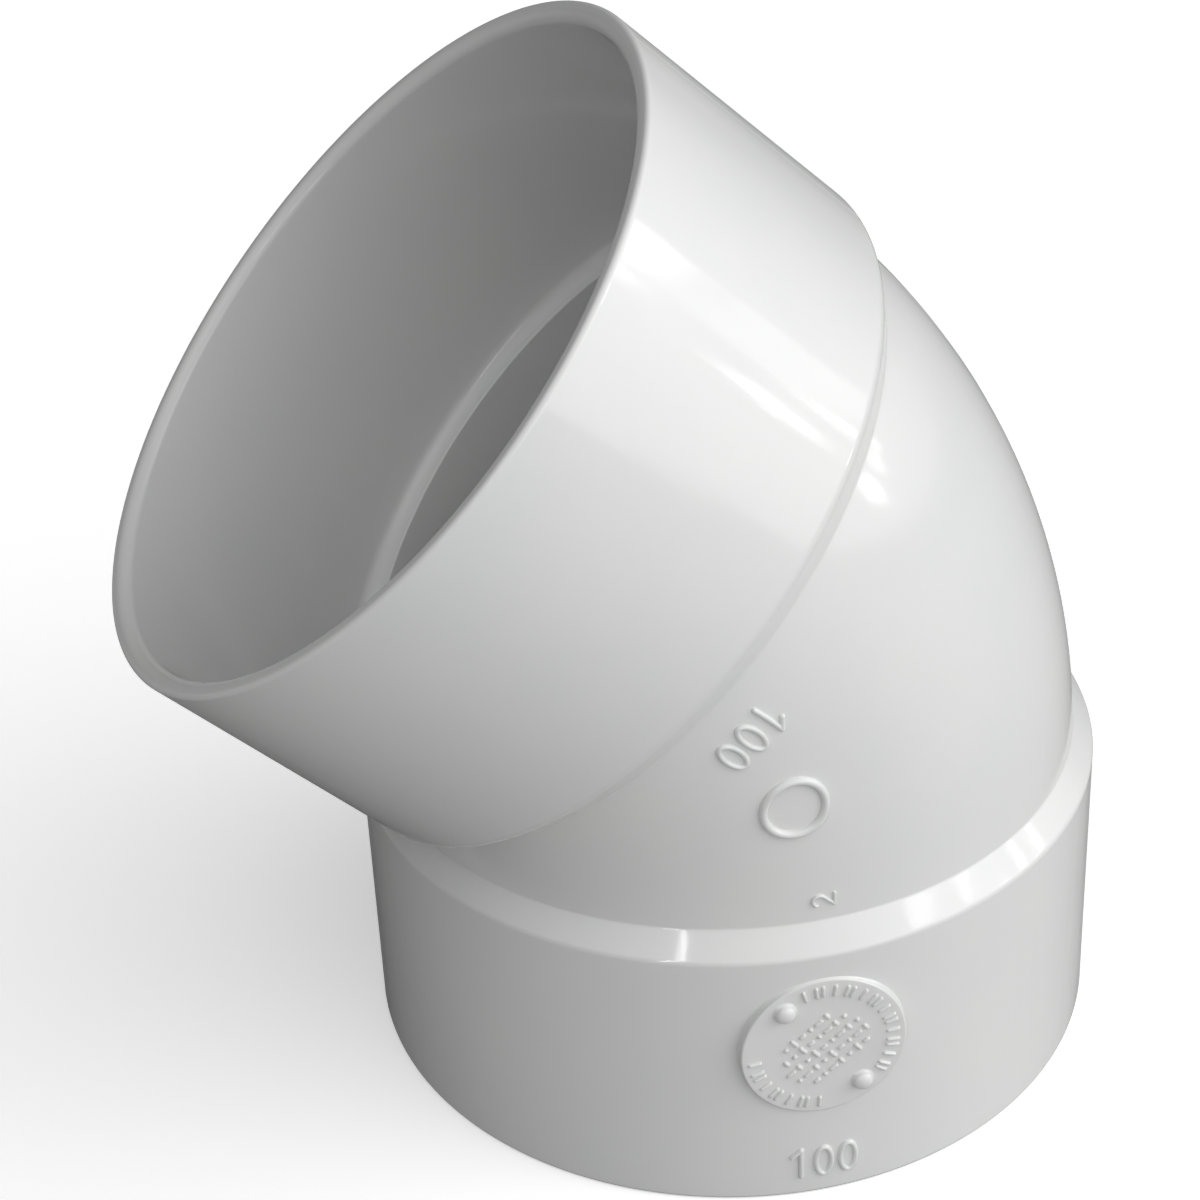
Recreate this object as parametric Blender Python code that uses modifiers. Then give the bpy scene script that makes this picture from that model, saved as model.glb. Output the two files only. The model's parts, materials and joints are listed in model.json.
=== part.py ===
"""Forty-five degree hub-by-hub elbow for thin-wall plastic drain pipe, in metres, +Z up.

The lower hub stands on its rim with its axis along Z. The upper hub leans 45 degrees towards -X,
so the bend lies in the XZ plane and the raised marks face -Y. The origin is at the centre of the
elbow's outline, on the plane that the lower rim stands on.
"""

import math

import bmesh
import bpy
from mathutils import Matrix, Vector

MM = 0.001

# Driving dimensions
BEND_ANGLE = math.radians(45.0)
HUB_RADIUS = 57.0 * MM
HUB_LENGTH = 49.6 * MM
SHOULDER_HEIGHT = 4.0 * MM
SHOULDER_ROUND = 2.0 * MM
BODY_RADIUS = 53.8 * MM
WATERWAY_RADIUS = 50.0 * MM
CREASE_TO_AXES = 22.4 * MM
SOCKET_DEPTH = 45.0 * MM
MOUTH_RADIUS = 53.8 * MM
STOP_RADIUS = 53.4 * MM
STOP_FILLET = 1.8 * MM
ENTRY_CHAMFER = 1.5 * MM
RIM_CHAMFER = 0.6 * MM
SEAM_GAP = 0.3 * MM
MARK_GAP = 0.05 * MM

# Facets
TURN_STEPS = 72
BEND_STEPS = 9
ARC_STEPS = 3

# Raised marks, all on the -Y side
GATE_RING_RADIUS = 4.5 * MM
GATE_RING_TUBE = 0.7 * MM
GATE_RING_ANGLE = math.radians(22.2)
GATE_RING_OUTWARD = 1.75 * MM
ROUNDEL_RADIUS = 12.4 * MM
ROUNDEL_HEIGHT = 29.0 * MM
ROUNDEL_PROUD = 0.35 * MM
STUD_OFFSET = Vector((-5.8 * MM, 7.6 * MM))
STUD_RADIUS = 1.5 * MM
STUD_HEIGHT = 1.3 * MM
MARK_PROUD = 0.6 * MM
PAD_PROUD = 0.25 * MM
SIZE_TEXT = "100"
SIZE_TEXT_HEIGHT = 7.6 * MM
SIZE_PAD = (11.5 * MM, 6.6 * MM)
CAVITY_TEXT = "2"
CAVITY_TEXT_HEIGHT = 4.0 * MM
CAVITY_PAD = (3.2 * MM, 3.6 * MM)
SOCKET_MARK_HEIGHT = 6.4 * MM
SIZE_MARK_ANGLE = math.radians(34.4)
SIZE_MARK_OUTWARD = 2.8 * MM
CAVITY_MARK_ANGLE = math.radians(7.1)
CAVITY_MARK_OUTWARD = 1.4 * MM

# Worked out from the driving dimensions
REACH = HUB_LENGTH + CREASE_TO_AXES
BEND_RADIUS = (REACH - SOCKET_DEPTH) / math.tan(BEND_ANGLE / 2)
OVERHANG = REACH * math.sin(BEND_ANGLE) + HUB_RADIUS * math.cos(BEND_ANGLE)
AXIS_X = (OVERHANG - HUB_RADIUS) / 2
BEND_CENTRE = Vector((AXIS_X - BEND_RADIUS, 0.0, SOCKET_DEPTH))
UPPER_AXIS = Vector((-math.sin(BEND_ANGLE), 0.0, math.cos(BEND_ANGLE)))
UPPER_MOUTH = Vector((AXIS_X, 0.0, REACH)) + REACH * UPPER_AXIS
LOWER_PLACE = Matrix.Translation((AXIS_X, 0.0, 0.0))
UPPER_PLACE = Matrix.Translation(UPPER_MOUTH) @ Matrix.Rotation(math.pi - BEND_ANGLE, 4, "Y")

OUTWARD = Vector((0.0, -1.0, 0.0))
WHITE_PVC = (0.80, 0.81, 0.80, 1.0)


def clear_scene():
    """Removes every object of the startup scene."""
    for obj in list(bpy.data.objects):
        bpy.data.objects.remove(obj, do_unlink=True)


def new_collection(name):
    """A collection linked to the scene."""
    collection = bpy.data.collections.new(name)
    bpy.context.scene.collection.children.link(collection)
    return collection


def pvc(name, roughness):
    """White rigid PVC with the given gloss."""
    material = bpy.data.materials.new(name)
    material.use_nodes = True
    shader = material.node_tree.nodes["Principled BSDF"]
    shader.inputs["Base Color"].default_value = WHITE_PVC
    shader.inputs["Roughness"].default_value = roughness
    shader.inputs["Metallic"].default_value = 0.0
    return material


def add_part(name, mesh, collection, place, roughness=0.25):
    """A named sub-part with its own material."""
    obj = bpy.data.objects.new(name, mesh)
    obj.matrix_world = place
    obj.data.materials.append(pvc(name, roughness))
    collection.objects.link(obj)
    return obj


def add_cutter(name, mesh, collection, place):
    """A helper that cuts other pieces and is left out of the model."""
    obj = bpy.data.objects.new(name, mesh)
    obj.matrix_world = place
    obj.hide_render = True
    obj.display_type = "WIRE"
    collection.objects.link(obj)
    return obj


def outline_mesh(name, points):
    """A closed loop of edges through the points."""
    mesh = bpy.data.meshes.new(name)
    count = len(points)
    mesh.from_pydata(points, [(i, (i + 1) % count) for i in range(count)], [])
    return mesh


def add_screw(obj, axis, angle, steps):
    """Turns the object's outline about one of its own axes."""
    screw = obj.modifiers.new("turn", "SCREW")
    screw.axis = axis
    screw.angle = angle
    screw.steps = steps
    screw.render_steps = steps
    screw.use_merge_vertices = True
    screw.merge_threshold = 0.00001
    return screw


def add_boolean(obj, other, operation):
    """Cuts the other object from this one, or joins it on."""
    boolean = obj.modifiers.new(other.name, "BOOLEAN")
    boolean.operation = operation
    boolean.object = other


def arc(centre, radius, start, end, steps=ARC_STEPS):
    """Points along an arc, as (radius from the axis, height)."""
    turns = [start + (end - start) * i / steps for i in range(steps + 1)]
    return [(centre[0] + radius * math.cos(a), centre[1] + radius * math.sin(a)) for a in turns]


def hub_profile():
    """Section of a hub, (radius, height above the rim): down its outside, then up its bore."""
    slope = math.atan2(HUB_RADIUS - BODY_RADIUS, SHOULDER_HEIGHT)
    corner = HUB_LENGTH - SHOULDER_HEIGHT
    round_centre = (HUB_RADIUS - SHOULDER_ROUND, corner - SHOULDER_ROUND * math.tan(slope / 2))
    fillet_centre = (STOP_RADIUS - STOP_FILLET, SOCKET_DEPTH - STOP_FILLET)
    return [
        (BODY_RADIUS, HUB_LENGTH),
        *arc(round_centre, SHOULDER_ROUND, slope, 0.0),
        (HUB_RADIUS, RIM_CHAMFER),
        (HUB_RADIUS - RIM_CHAMFER, 0.0),
        (MOUTH_RADIUS + ENTRY_CHAMFER, 0.0),
        (MOUTH_RADIUS, ENTRY_CHAMFER),
        *arc(fillet_centre, STOP_FILLET, 0.0, math.pi / 2),
        (WATERWAY_RADIUS, SOCKET_DEPTH),
        (WATERWAY_RADIUS, HUB_LENGTH),
    ]


def make_hub(name, collection, place):
    """One hub: socket bore, pipe stop, rim and bevelled shoulder, as a turned ring."""
    mesh = outline_mesh(name, [(r, 0.0, z) for r, z in hub_profile()])
    hub = add_part(name, mesh, collection, place)
    add_screw(hub, "Z", 2 * math.pi, TURN_STEPS)
    return hub


def bend_outline(name, radius):
    """The bend's round section, at its distance from the centre that it turns about."""
    turns = [2 * math.pi * i / TURN_STEPS for i in range(TURN_STEPS)]
    points = [(BEND_RADIUS + radius * math.cos(a), radius * math.sin(a), 0.0) for a in turns]
    return outline_mesh(name, points)


def add_bend_shell(obj, wall):
    """Sweeps the section through the bend and gives it a wall, measured inwards."""
    add_screw(obj, "Y", -BEND_ANGLE, BEND_STEPS)
    solidify = obj.modifiers.new("wall", "SOLIDIFY")
    solidify.thickness = wall
    solidify.offset = -1.0
    solidify.use_even_offset = True


def cylinder_mesh(name, radius, low, high, segments=TURN_STEPS):
    """A closed cylinder on the Z axis between two heights."""
    mesh = bpy.data.meshes.new(name)
    shape = bmesh.new()
    middle = Matrix.Translation((0.0, 0.0, (low + high) / 2))
    bmesh.ops.create_cone(
        shape, cap_ends=True, segments=segments, radius1=radius, radius2=radius,
        depth=high - low, matrix=middle,
    )
    shape.to_mesh(mesh)
    shape.free()
    return mesh


def make_bend(collection, cutters):
    """The curved body between the hubs, trimmed square to each hub's end."""
    place = Matrix.Translation(BEND_CENTRE)
    bend = add_part("bend_body", bend_outline("bend_body", BODY_RADIUS), collection, place)
    add_bend_shell(bend, BODY_RADIUS - WATERWAY_RADIUS)
    for name, hub_place in (("lower_trim", LOWER_PLACE), ("upper_trim", UPPER_PLACE)):
        mesh = cylinder_mesh(name, HUB_RADIUS, SOCKET_DEPTH / 2, HUB_LENGTH + SEAM_GAP)
        add_boolean(bend, add_cutter(name, mesh, cutters, hub_place), "DIFFERENCE")
    return bend


def face_place(point, up, normal=OUTWARD):
    """A frame on the -Y side: its Z points along the normal and its Y is close to up."""
    across = up.cross(normal).normalized()
    rise = normal.cross(across)
    frame = Matrix((across, rise, normal)).transposed().to_4x4()
    return Matrix.Translation(point) @ frame


def bend_place(angle, outward, up):
    """A frame on the bend's -Y side, at this turn and this far towards the bend's outer side."""
    away = Vector((math.cos(angle), 0.0, math.sin(angle)))
    lean = outward / BODY_RADIUS
    normal = OUTWARD * math.cos(lean) + away * math.sin(lean)
    return face_place(BEND_CENTRE + away * BEND_RADIUS + normal * BODY_RADIUS, up, normal)


def hub_side(height):
    """The point on the lower hub's -Y side at this height."""
    return Vector((AXIS_X, 0.0, height)) + HUB_RADIUS * OUTWARD


def make_gate_ring(collection, body_cutter):
    """The raised ring at the middle of the bend, seated on the body."""
    place = bend_place(GATE_RING_ANGLE, GATE_RING_OUTWARD, Vector((0.0, 0.0, 1.0)))
    bpy.ops.mesh.primitive_torus_add(
        major_radius=GATE_RING_RADIUS, minor_radius=GATE_RING_TUBE,
        major_segments=32, minor_segments=10,
    )
    made = bpy.context.object
    mesh = made.data
    bpy.data.objects.remove(made)
    mesh.name = "gate_ring"
    ring = add_part("gate_ring", mesh, collection, place)
    add_boolean(ring, body_cutter, "DIFFERENCE")


def make_roundel(collection, hub_cutter):
    """The flat round plate on the lower hub, and its two studs."""
    up = Vector((0.0, 0.0, 1.0))
    place = face_place(hub_side(ROUNDEL_HEIGHT), up)
    plate_mesh = cylinder_mesh("roundel_plate", ROUNDEL_RADIUS, -3.0 * MM, ROUNDEL_PROUD, 48)
    plate = add_part("roundel_plate", plate_mesh, collection, place)
    add_boolean(plate, hub_cutter, "DIFFERENCE")
    quarter = arc((0.0, 0.0), 1.0, math.pi / 2, 0.0, 2 * ARC_STEPS)
    dome = [(STUD_RADIUS * r, 0.0, STUD_HEIGHT * h) for r, h in quarter] + [(0.0, 0.0, 0.0)]
    for name, side in (("roundel_stud_upper", 1), ("roundel_stud_lower", -1)):
        across, rise = side * STUD_OFFSET
        seat = Matrix.Translation((across, rise, ROUNDEL_PROUD + MARK_GAP))
        mesh = bpy.data.meshes.new(name)
        mesh.from_pydata(dome, [(i, i + 1) for i in range(len(dome) - 1)], [])
        stud = add_part(name, mesh, collection, place @ seat)
        add_screw(stud, "Z", 2 * math.pi, 24)


def text_mesh(name, words, height, proud):
    """The words as a solid centred on the origin, standing proud of the XY plane."""
    curve = bpy.data.curves.new(name, "FONT")
    curve.body = words
    curve.size = height
    curve.align_x = "CENTER"
    curve.align_y = "CENTER"
    curve.resolution_u = 2
    curve.extrude = proud
    words_object = bpy.data.objects.new(name, curve)
    bpy.context.scene.collection.objects.link(words_object)
    bpy.context.view_layer.update()
    graph = bpy.context.evaluated_depsgraph_get()
    mesh = bpy.data.meshes.new_from_object(words_object.evaluated_get(graph))
    bpy.data.objects.remove(words_object)
    bpy.data.curves.remove(curve)
    shape = bmesh.new()
    shape.from_mesh(mesh)
    bmesh.ops.remove_doubles(shape, verts=shape.verts, dist=0.000001)
    shape.to_mesh(mesh)
    shape.free()
    return mesh


def pad_mesh(name, size):
    """A thin plate on the XY plane that carries the numerals of a mark."""
    mesh = bpy.data.meshes.new(name)
    shape = bmesh.new()
    thickness = 2 * MARK_PROUD + PAD_PROUD
    middle = Matrix.Translation((0.0, 0.0, PAD_PROUD - thickness / 2))
    scale = Matrix.Diagonal((size[0], size[1], thickness, 1.0))
    bmesh.ops.create_cube(shape, size=1.0, matrix=middle @ scale)
    shape.to_mesh(mesh)
    shape.free()
    return mesh


def make_mark(name, words, height, pad_size, place, collection, cutters, surface_cutter):
    """Raised numerals on a thin pad that follows the surface below it."""
    mark = add_part(name, pad_mesh(name, pad_size), collection, place)
    words_mesh = text_mesh(name + "_words", words, height, MARK_PROUD)
    words_cutter = add_cutter(name + "_words", words_mesh, cutters, place)
    add_boolean(mark, words_cutter, "UNION")
    add_boolean(mark, surface_cutter, "DIFFERENCE")


def make_marks(collection, cutters):
    """Every raised mark on the -Y side."""
    hub_mesh = cylinder_mesh("hub_seat", HUB_RADIUS + MARK_GAP, 0.0, HUB_LENGTH)
    hub_cutter = add_cutter("hub_seat", hub_mesh, cutters, LOWER_PLACE)
    body_mesh = bend_outline("body_seat", BODY_RADIUS + MARK_GAP)
    body_cutter = add_cutter("body_seat", body_mesh, cutters, Matrix.Translation(BEND_CENTRE))
    add_bend_shell(body_cutter, 6.0 * MM)
    make_gate_ring(collection, body_cutter)
    make_roundel(collection, hub_cutter)
    rise = Vector((0.0, 0.0, 1.0))
    sideways = Vector((-1.0, 0.0, 0.0))
    socket_place = face_place(hub_side(SOCKET_MARK_HEIGHT), rise)
    size_place = bend_place(SIZE_MARK_ANGLE, SIZE_MARK_OUTWARD, -UPPER_AXIS)
    cavity_place = bend_place(CAVITY_MARK_ANGLE, CAVITY_MARK_OUTWARD, sideways)
    size = (SIZE_TEXT, SIZE_TEXT_HEIGHT, SIZE_PAD)
    cavity = (CAVITY_TEXT, CAVITY_TEXT_HEIGHT, CAVITY_PAD)
    make_mark("socket_size_mark", *size, socket_place, collection, cutters, hub_cutter)
    make_mark("bend_size_mark", *size, size_place, collection, cutters, body_cutter)
    make_mark("cavity_mark", *cavity, cavity_place, collection, cutters, body_cutter)


def main():
    clear_scene()
    parts = new_collection("pvc_elbow")
    cutters = new_collection("cutters")
    make_hub("lower_hub", parts, LOWER_PLACE)
    make_hub("upper_hub", parts, UPPER_PLACE)
    make_bend(parts, cutters)
    make_marks(parts, cutters)


main()
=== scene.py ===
"""Looks of a 45 degree drain elbow in white PVC: fine surfaces, gloss finish, studio and camera.

All lengths are in metres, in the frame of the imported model. The lower hub stands upright on its rim,
the upper hub leans towards -X, and the raised marks face -Y.
"""

import json
import logging
import math
from abc import ABC, abstractmethod
from dataclasses import dataclass, field
from enum import Enum

import bmesh
import bpy
import numpy as np
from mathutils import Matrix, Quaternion, Vector


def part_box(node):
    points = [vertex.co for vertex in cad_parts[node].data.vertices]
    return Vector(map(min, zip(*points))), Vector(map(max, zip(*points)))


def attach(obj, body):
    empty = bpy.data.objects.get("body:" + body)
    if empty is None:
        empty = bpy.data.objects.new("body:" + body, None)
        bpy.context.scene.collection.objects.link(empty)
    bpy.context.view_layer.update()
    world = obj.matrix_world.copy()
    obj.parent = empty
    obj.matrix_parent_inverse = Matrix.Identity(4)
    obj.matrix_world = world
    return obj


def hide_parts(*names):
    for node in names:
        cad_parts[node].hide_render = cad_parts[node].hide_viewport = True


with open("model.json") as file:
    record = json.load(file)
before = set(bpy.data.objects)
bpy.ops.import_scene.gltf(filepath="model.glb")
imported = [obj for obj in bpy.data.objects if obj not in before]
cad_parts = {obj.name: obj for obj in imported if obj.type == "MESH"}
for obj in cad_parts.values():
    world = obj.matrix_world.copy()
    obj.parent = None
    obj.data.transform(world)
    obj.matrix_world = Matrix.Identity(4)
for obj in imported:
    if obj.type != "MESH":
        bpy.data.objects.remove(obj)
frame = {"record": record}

MM = 0.001
BODY = "root"
SOFT_SHOULDER = 2.6 * MM
WELD_DISTANCE = 1e-7
LOG = logging.getLogger("elbow")
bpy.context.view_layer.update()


# ---------------------------------------------------------------- number helpers


def eased(start: float, end: float, count: int) -> np.ndarray:
    """Values from start to end that crowd together at both ends: half a cosine wave of even steps."""
    return start + (end - start) * (1 - np.cos(np.linspace(0, np.pi, count))) / 2


def arc(centre: tuple[float, float], radius: float, start: float, end: float, count: int = 12) -> np.ndarray:
    """Points on an arc: centre plus radius times the cosine and sine of even steps, in degrees."""
    turn = np.radians(np.linspace(start, end, count))
    return np.column_stack([centre[0] + radius * np.cos(turn), centre[1] + radius * np.sin(turn)])


def smooth_max(first: np.ndarray, second: np.ndarray, blend: float) -> np.ndarray:
    """The larger of two surfaces with a fillet between them.

    Where they differ by less than blend, the result is their mix by the share h plus blend * h * (1 - h).

    Args:
        first: Heights of one surface.
        second: Heights of the other.
        blend: How far apart they are where the fillet ends.

    Returns:
        The filleted heights.
    """
    share = np.clip(0.5 + 0.5 * (first - second) / blend, 0.0, 1.0)
    return second + (first - second) * share + blend * share * (1 - share)


def resampled(points: list[tuple[float, float]], step: float) -> np.ndarray:
    """A path through the points in straight runs, with a point about every step.

    Args:
        points: Corners of the path.
        step: Distance between the new points.

    Returns:
        The new points, one row each.
    """
    corners = np.array(points, float)
    runs = np.linalg.norm(np.diff(corners, axis=0), axis=1)
    along = np.concatenate([[0.0], np.cumsum(runs)])
    wanted = np.linspace(0.0, along[-1], max(2, int(round(along[-1] / step)) + 1))
    return np.column_stack([np.interp(wanted, along, corners[:, k]) for k in range(2)])


def middle_of(node: str) -> Vector:
    """The middle of a CAD node's box."""
    low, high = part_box(node)
    return (low + high) / 2


# ---------------------------------------------------------------- meshes


class Wrap(Enum):
    """Which ways a grid of points closes on itself."""

    COLUMNS = "columns"
    BOTH = "both"


class Surface:
    """Collects grids of points into one mesh, each grid a closed or capped sheet."""

    def __init__(self) -> None:
        """Starts with no points."""
        self.points: list[np.ndarray] = []
        self.faces: list[np.ndarray] = []
        self.count = 0

    def add(self, grid: np.ndarray, wrap: Wrap) -> None:
        """Adds a grid as quads that face columns crossed with rows.

        Args:
            grid: Points, as rows by columns by three.
            wrap: Which ways the grid closes on itself.
        """
        rows, columns = grid.shape[:2]
        index = np.arange(rows * columns).reshape(rows, columns)
        index = np.hstack([index, index[:, :1]])
        if wrap is Wrap.BOTH:
            index = np.vstack([index, index[:1]])
        corners = (index[:-1, :-1], index[:-1, 1:], index[1:, 1:], index[1:, :-1])
        self.faces.append(np.stack(corners, axis=-1).reshape(-1, 4) + self.count)
        self.points.append(grid.reshape(-1, 3))
        self.count += rows * columns

    def build(self, name: str, material: bpy.types.Material) -> bpy.types.Object:
        """Makes the mesh, closes its poles and links it.

        Args:
            name: Name of the piece.
            material: Its finish.

        Returns:
            The new object, which sits at the origin.
        """
        mesh = bpy.data.meshes.new(name)
        mesh.from_pydata(np.concatenate(self.points), [], np.concatenate(self.faces))
        shape = bmesh.new()
        shape.from_mesh(mesh)
        bmesh.ops.remove_doubles(shape, verts=shape.verts, dist=WELD_DISTANCE)
        shape.to_mesh(mesh)
        shape.free()
        mesh.shade_smooth()
        mesh.materials.append(material)
        piece = bpy.data.objects.new(name, mesh)
        bpy.context.scene.collection.objects.link(piece)
        return piece


def place_piece(piece: bpy.types.Object, slot: str, *nodes: str) -> bpy.types.Object:
    """Puts a finished piece on the elbow's one body, hides the CAD nodes that it stands for and logs them.

    Args:
        piece: The finished object.
        slot: The record's material slot; not used.
        nodes: The CAD nodes that it stands for, if any.

    Returns:
        The same object.
    """
    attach(piece, BODY)
    if nodes:
        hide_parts(*nodes)
    LOG.info("%s: %d faces, stands for %s", piece.name, len(piece.data.polygons), nodes or "no node")
    return piece


# ---------------------------------------------------------------- the elbow's form


@dataclass(frozen=True)
class Seat:
    """Where a hub lies: its rim's centre, and its outward, side and inward directions."""

    origin: np.ndarray
    outward: np.ndarray
    side: np.ndarray
    inward: np.ndarray

    def at(self, turn: np.ndarray, radius: np.ndarray, height: np.ndarray) -> np.ndarray:
        """Points at a turn from the outward direction, a radius from the axis and a height over the rim."""
        across = np.cos(turn)[..., None] * self.outward + np.sin(turn)[..., None] * self.side
        return self.origin + radius[..., None] * across + height[..., None] * self.inward


@dataclass(frozen=True)
class ElbowForm:
    """The elbow's main sizes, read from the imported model, and the shapes that follow from them."""

    hub_radius: float
    hub_length: float
    body_radius: float
    socket_depth: float
    bend_angle: float
    axis_x: float
    reach: float
    waterway_radius: float = 50.0 * MM
    flash_height: float = 0.035 * MM
    flash_width: float = 0.16 * MM
    flash_reach: float = 2.5
    turn_count: int = 360
    flash_count: int = 17
    newton_steps: int = 6

    @classmethod
    def from_frame(cls) -> "ElbowForm":
        """Reads the hubs' and the body's boxes and the record's mounts.

        Returns:
            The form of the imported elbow.
        """
        low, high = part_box("lower_hub")
        body_low, body_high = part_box("bend_body")
        mounts = {mount["name"]: mount for mount in frame["record"]["mounts"]}
        rim = Vector(mounts["upper_rim"]["pos_m"])
        lean = Vector(mounts["upper_rim"]["axis"]).normalized()
        axis_x = (low.x + high.x) / 2
        return cls(
            hub_radius=(high.y - low.y) / 2,
            hub_length=high.z - low.z,
            body_radius=(body_high.y - body_low.y) / 2,
            socket_depth=mounts["lower_pipe_stop"]["pos_m"][2],
            bend_angle=math.acos(lean.z),
            axis_x=axis_x,
            reach=(rim.dot(lean) - axis_x * lean.x) / (1 + lean.z),
        )

    @property
    def bend_radius(self) -> float:
        """Radius of the bend's centre line, which is tangent to both axes at the pipe stops."""
        return (self.reach - self.socket_depth) / math.tan(self.bend_angle / 2)

    @property
    def bend_centre(self) -> np.ndarray:
        """The point that the bend turns about."""
        return np.array([self.axis_x - self.bend_radius, 0.0, self.socket_depth])

    @property
    def lower_seat(self) -> Seat:
        """The upright hub's place."""
        return Seat(np.array([self.axis_x, 0.0, 0.0]), *np.eye(3))

    @property
    def upper_seat(self) -> Seat:
        """The leaning hub's place, the lower one's mirrored in the bend's middle plane."""
        sine, cosine = math.sin(self.bend_angle), math.cos(self.bend_angle)
        lean = np.array([-sine, 0.0, cosine])
        crossing = np.array([self.axis_x, 0.0, self.reach])
        outward = np.array([cosine, 0.0, sine])
        return Seat(crossing + self.reach * lean, outward, np.array([0.0, -1.0, 0.0]), -lean)

    def turns(self) -> np.ndarray:
        """Angles round a section: even steps, with fine ones where the mould's halves met."""
        even = np.linspace(0.0, 2 * np.pi, self.turn_count, endpoint=False)
        reach = self.flash_reach * self.flash_width / self.body_radius
        fine = np.linspace(-reach, reach, self.flash_count)
        found = np.concatenate([even, fine, fine + np.pi]) % (2 * np.pi)
        return np.unique(np.round(found, 9))

    def flash(self, turn: np.ndarray) -> np.ndarray:
        """Height of the mould's witness line: a bell curve of the distance from the middle plane."""
        away = self.body_radius * np.sin(turn) / self.flash_width
        return self.flash_height * np.exp(-away * away)

    def tube_reach(self, turn: np.ndarray, height: np.ndarray, tube_radius: float) -> np.ndarray:
        """How far the bend's tube reaches from a hub's axis, at a turn and a height.

        A point at distance r is on the tube where the distance from the bend's centre line is the tube's
        radius. A few of Newton's steps solve that for r.

        Args:
            turn: Angle from the outward direction, in radians.
            height: Height above the rim.
            tube_radius: Radius of the tube.

        Returns:
            The distances from the hub's axis.
        """
        rise = height - self.socket_depth
        reach = np.full(np.broadcast(turn, height).shape, tube_radius)
        for _ in range(self.newton_steps):
            level = reach * np.cos(turn) + self.bend_radius
            away = np.hypot(level, rise)
            miss = (away - self.bend_radius) ** 2 + (reach * np.sin(turn)) ** 2 - tube_radius**2
            slope = 2 * (away - self.bend_radius) * level * np.cos(turn) / away
            reach = reach - miss / (slope + 2 * reach * np.sin(turn) ** 2)
        return reach


# ---------------------------------------------------------------- finishes


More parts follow.
